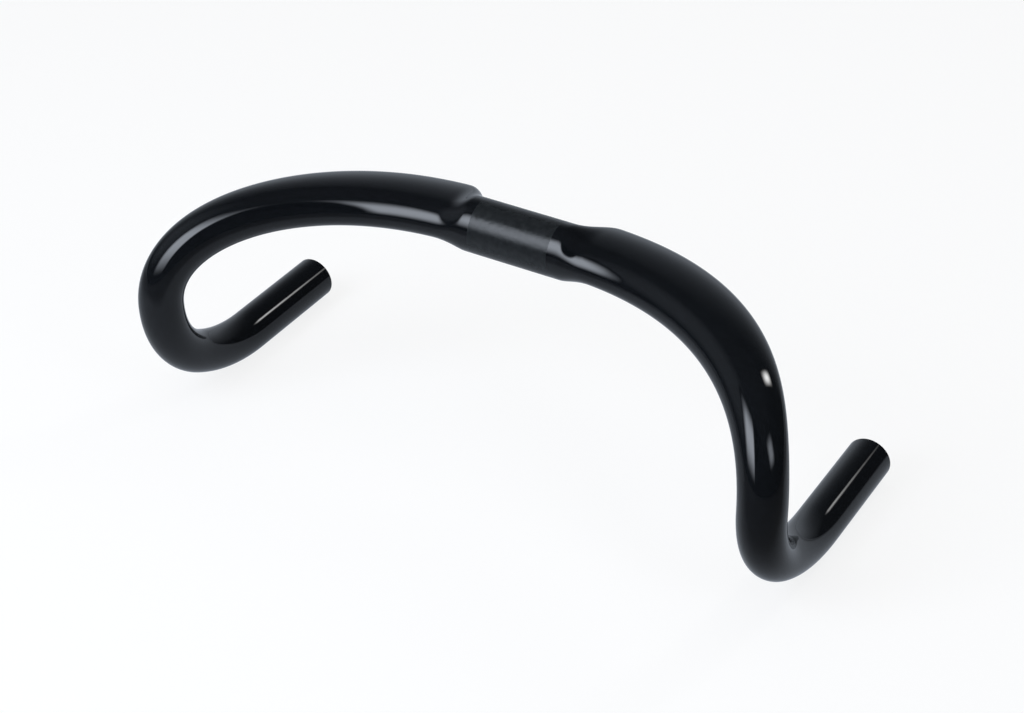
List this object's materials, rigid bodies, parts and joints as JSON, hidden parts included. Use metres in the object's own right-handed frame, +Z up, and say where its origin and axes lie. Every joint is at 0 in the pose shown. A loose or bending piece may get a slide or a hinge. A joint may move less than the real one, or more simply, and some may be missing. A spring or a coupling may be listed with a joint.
{
  "type": "drop handlebar",
  "caption": "One-piece moulded drop handlebar with flattened tops that sweep forwards into compact round hooks, short open-ended drops and a round middle for the stem clamp.",
  "frame": {"origin": "middle of the round clamp length, on the bar's axis", "axes": "+X along the clamp length across the bicycle, -Y forwards to the hooks, +Z up, with the straight drops level and pointing to +Y"},
  "size_m": [0.406, 0.1605, 0.1489],
  "materials": {
    "gloss_carbon": "glossy black clear coat over carbon fibre, with a matt roughened band about 50 mm wide where the stem grips"
  },
  "bodies": {
    "root": {"handlebar": "gloss_carbon"}
  },
  "joints": []
}
